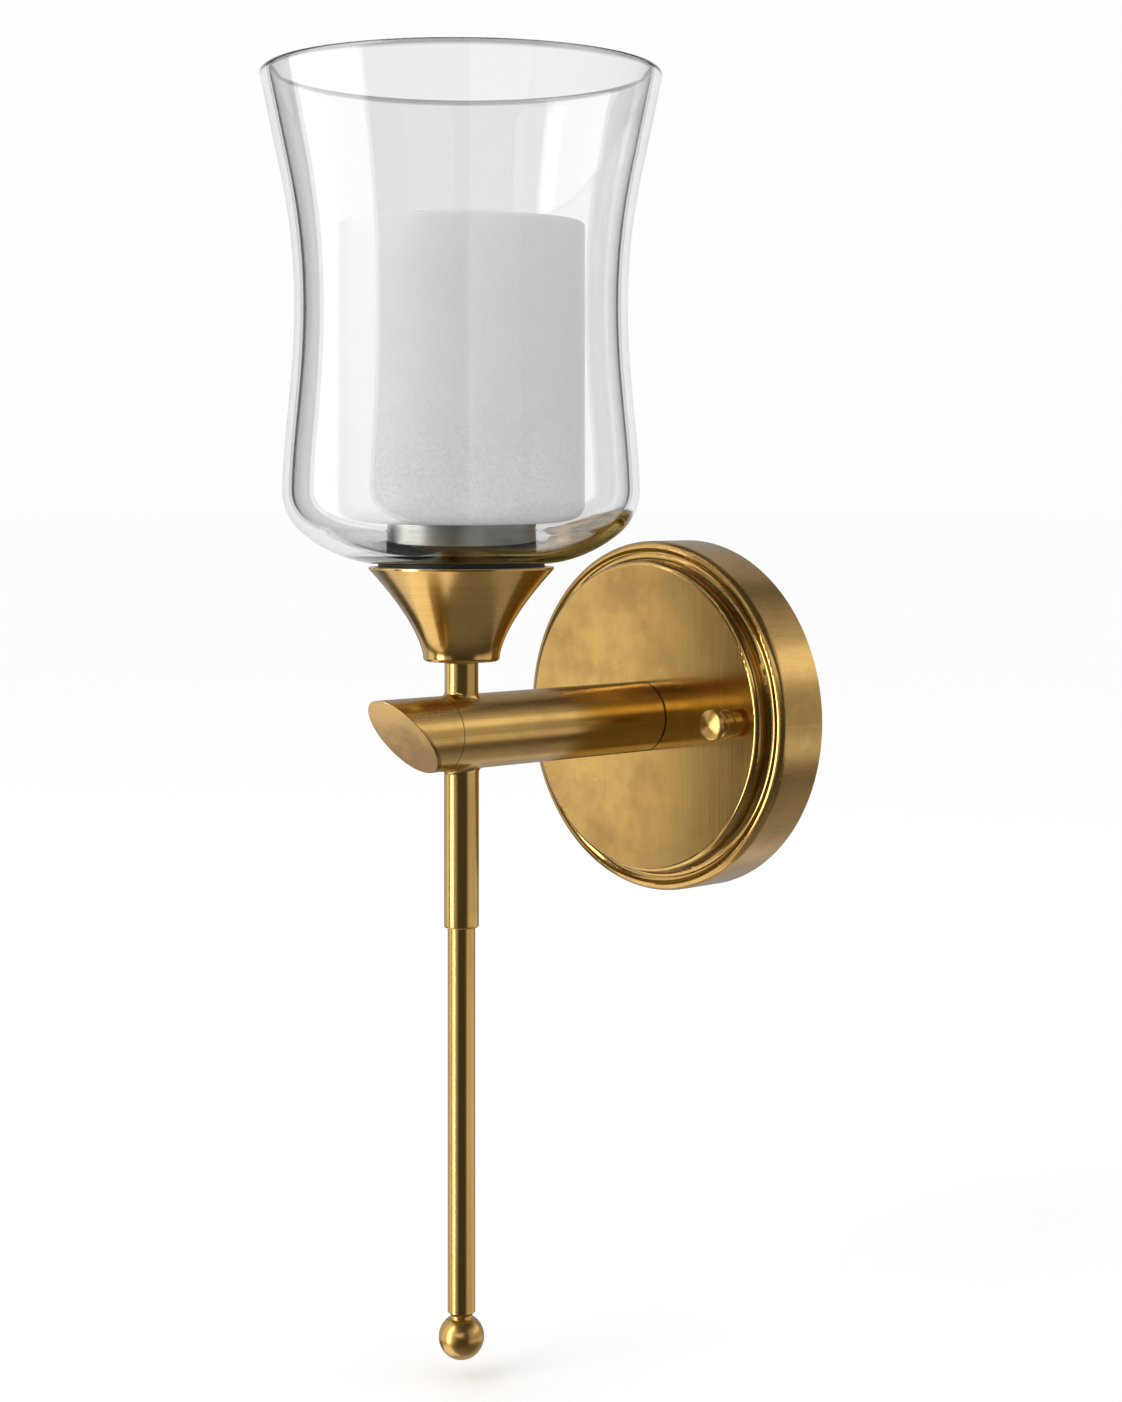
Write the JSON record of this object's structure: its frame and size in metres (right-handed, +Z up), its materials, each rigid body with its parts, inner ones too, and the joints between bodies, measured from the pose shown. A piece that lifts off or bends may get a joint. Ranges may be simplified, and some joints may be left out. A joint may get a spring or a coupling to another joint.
{
  "type": "wall light",
  "caption": "Wall light with a round canopy, a mitred tube arm, a flared cup holding a waisted clear shade round a frosted inner glass, and a tail rod ending in a ball.",
  "frame": {"origin": "the point of the wall plane that the arm's axis meets, midway between the wall screws", "axes": "+Z up, +Y into the wall, X along the wall; the light stands out of the wall towards -Y"},
  "size_m": [0.1448, 0.1934, 0.4639],
  "materials": {
    "aged_brass": "brushed, aged and lacquered",
    "bright_brass": "bright",
    "zinc_steel": "zinc plated",
    "black_rubber": "matt",
    "clear_glass": "clear, fire polished",
    "frosted_glass": "acid frosted",
    "satin_aluminium": "satin",
    "white_plastic": "moulded",
    "lamp_cap": "bright",
    "lamp_glass": "opal",
    "brown_insulation": "moulded",
    "blue_insulation": "moulded",
    "green_insulation": "moulded"
  },
  "bodies": {
    "wall_bracket": {"crossbar": "zinc_steel", "canopy_studs": "zinc_steel", "stud_nuts": "zinc_steel", "earth_screw": "bright_brass"},
    "fixture": {"canopy": "aged_brass", "arm_tube": "aged_brass", "arm_nose": "aged_brass", "nose_plate": "aged_brass", "arm_bush": "bright_brass", "arm_nipple": "zinc_steel", "arm_washer": "zinc_steel", "arm_nut": "zinc_steel", "earth_lug": "bright_brass", "stem_pipe": "zinc_steel", "upper_stem": "aged_brass", "lower_sleeve": "aged_brass", "tail_rod": "aged_brass", "cone_cup": "aged_brass", "cup_washer": "zinc_steel", "cup_nut": "zinc_steel", "cup_plate": "zinc_steel", "shade_gasket": "black_rubber", "clear_glass": "clear_glass", "clamp_gasket": "black_rubber", "shade_clamp": "satin_aluminium", "lampholder": "white_plastic", "screw_shell": "bright_brass", "centre_contact": "bright_brass", "terminal_block": "white_plastic", "terminal_screws": "zinc_steel", "live_wire": "brown_insulation", "neutral_wire": "blue_insulation", "earth_wire": "green_insulation"},
    "left_washer": {"cap_washer_left": "aged_brass"},
    "left_nut": {"cap_nut_left": "aged_brass"},
    "right_washer": {"cap_washer_right": "aged_brass"},
    "right_nut": {"cap_nut_right": "aged_brass"},
    "inner_glass": {"frosted_glass": "frosted_glass"},
    "lamp": {"bulb_cap": "lamp_cap", "bulb_glass": "lamp_glass"},
    "finial_thread": {"finial_stud": "zinc_steel"},
    "finial": {"ball_finial": "aged_brass"}
  },
  "joints": [
    {"name": "canopy_lift_off", "type": "slide", "parent": "wall_bracket", "child": "fixture", "axis": [0, -1, 0], "range_m": [0, 0.06]},
    {"name": "left_nut_travel", "type": "slide", "parent": "fixture", "child": "left_washer", "axis": [0, -1, 0], "range_m": [0, 0.0064]},
    {"name": "left_nut_turn", "type": "hinge", "parent": "left_washer", "child": "left_nut", "pos_m": [-0.0445, -0.0326, 0], "axis": [0, -1, 0], "range_deg": [0, 3240]},
    {"name": "right_nut_travel", "type": "slide", "parent": "fixture", "child": "right_washer", "axis": [0, -1, 0], "range_m": [0, 0.0064]},
    {"name": "right_nut_turn", "type": "hinge", "parent": "right_washer", "child": "right_nut", "pos_m": [0.0445, -0.0326, 0], "axis": [0, -1, 0], "range_deg": [0, 3240]},
    {"name": "inner_glass_lift", "type": "slide", "parent": "fixture", "child": "inner_glass", "axis": [0, 0, 1], "range_m": [0, 0.17]},
    {"name": "lamp_lift", "type": "slide", "parent": "fixture", "child": "lamp", "axis": [0, 0, 1], "range_m": [0, 0.155]},
    {"name": "finial_travel", "type": "slide", "parent": "fixture", "child": "finial_thread", "axis": [0, 0, -1], "range_m": [0, 0.0071]},
    {"name": "finial_turn", "type": "hinge", "parent": "finial_thread", "child": "finial", "pos_m": [0, -0.121, -0.2176], "axis": [0, 0, -1], "range_deg": [0, 3600]}
  ],
  "couplings": [
    {"joint": "left_nut_travel", "follows": "left_nut_turn", "m_per_rad": 0.00011141},
    {"joint": "right_nut_travel", "follows": "right_nut_turn", "m_per_rad": 0.00011141},
    {"joint": "finial_travel", "follows": "finial_turn", "m_per_rad": 0.00011141}
  ]
}
